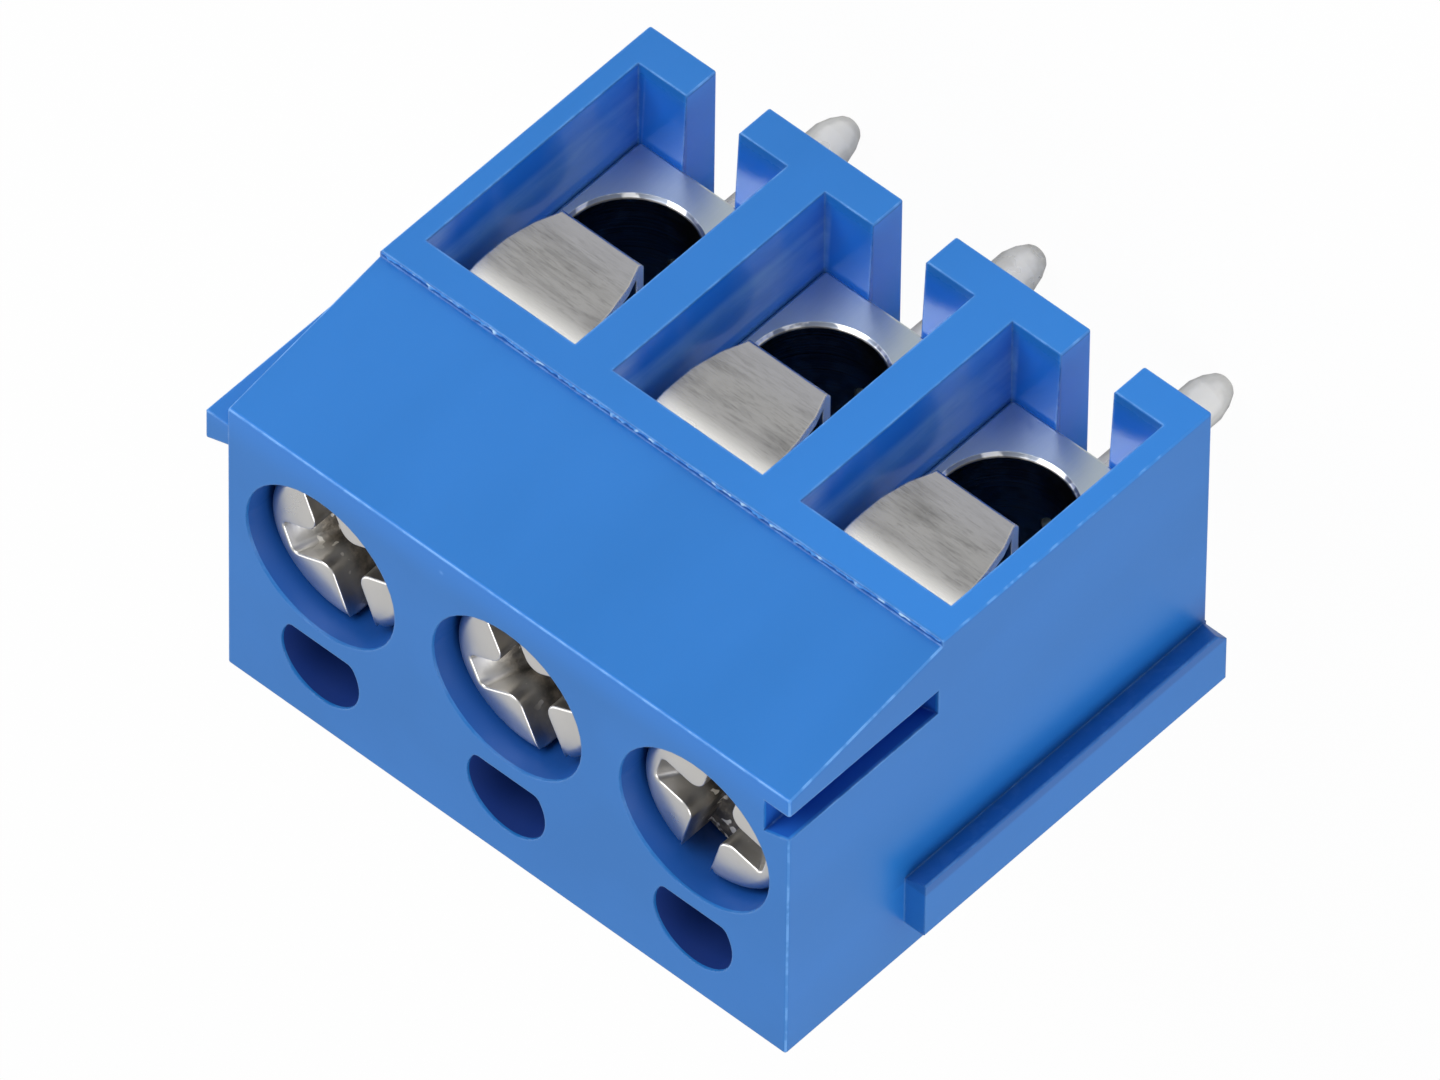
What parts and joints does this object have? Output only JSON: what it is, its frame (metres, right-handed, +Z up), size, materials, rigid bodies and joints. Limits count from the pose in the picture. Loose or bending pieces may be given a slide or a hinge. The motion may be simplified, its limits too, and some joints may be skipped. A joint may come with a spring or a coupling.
{
  "type": "pcb screw terminal",
  "caption": "Board-mount screw terminal block: moulded housing with wire openings in front, clamp screws on top, bent wire guards, drilled contact blocks and solder pins.",
  "frame": {"origin": "where the middle solder pin's axis meets the seating plane on the board", "axes": "+Z up, away from the board, along the clamp screws; +X along the row of poles; the wires enter from -Y"},
  "size_m": [0.0162, 0.0088, 0.0158],
  "materials": {
    "housing_plastic": "smooth moulded, medium gloss, blue",
    "plated_block": "machined and nickel-plated",
    "tinned_pin": "tin-plated, satin",
    "guard_steel": "rolled strip with grain along its width",
    "screw_steel": "nickel-plated, satin"
  },
  "bodies": {
    "base": {"housing": "housing_plastic", "contact_block_left": "plated_block", "solder_pin_left": "tinned_pin", "contact_block_middle": "plated_block", "solder_pin_middle": "tinned_pin", "contact_block_right": "plated_block", "solder_pin_right": "tinned_pin"},
    "guard_left": {"wire_guard_left": "guard_steel"},
    "screw_left": {"clamp_screw_left": "screw_steel"},
    "guard_middle": {"wire_guard_middle": "guard_steel"},
    "screw_middle": {"clamp_screw_middle": "screw_steel"},
    "guard_right": {"wire_guard_right": "guard_steel"},
    "screw_right": {"clamp_screw_right": "screw_steel"}
  },
  "joints": [
    {"name": "guard_left_travel", "type": "slide", "parent": "base", "child": "guard_left", "axis": [0, 0, -1], "range_m": [0, 0.00165]},
    {"name": "screw_left_turn", "type": "hinge", "parent": "guard_left", "child": "screw_left", "pos_m": [-0.005, -0.00015, 0.012], "axis": [0, 0, -1], "range_deg": [0, 1188]},
    {"name": "guard_middle_travel", "type": "slide", "parent": "base", "child": "guard_middle", "axis": [0, 0, -1], "range_m": [0, 0.00165]},
    {"name": "screw_middle_turn", "type": "hinge", "parent": "guard_middle", "child": "screw_middle", "pos_m": [0, -0.00015, 0.012], "axis": [0, 0, -1], "range_deg": [0, 1188]},
    {"name": "guard_right_travel", "type": "slide", "parent": "base", "child": "guard_right", "axis": [0, 0, -1], "range_m": [0, 0.00165]},
    {"name": "screw_right_turn", "type": "hinge", "parent": "guard_right", "child": "screw_right", "pos_m": [0.005, -0.00015, 0.012], "axis": [0, 0, -1], "range_deg": [0, 1188]}
  ],
  "couplings": [
    {"joint": "screw_left_turn", "follows": "guard_left_travel", "rad_per_m": 12566},
    {"joint": "screw_middle_turn", "follows": "guard_middle_travel", "rad_per_m": 12566},
    {"joint": "screw_right_turn", "follows": "guard_right_travel", "rad_per_m": 12566}
  ]
}
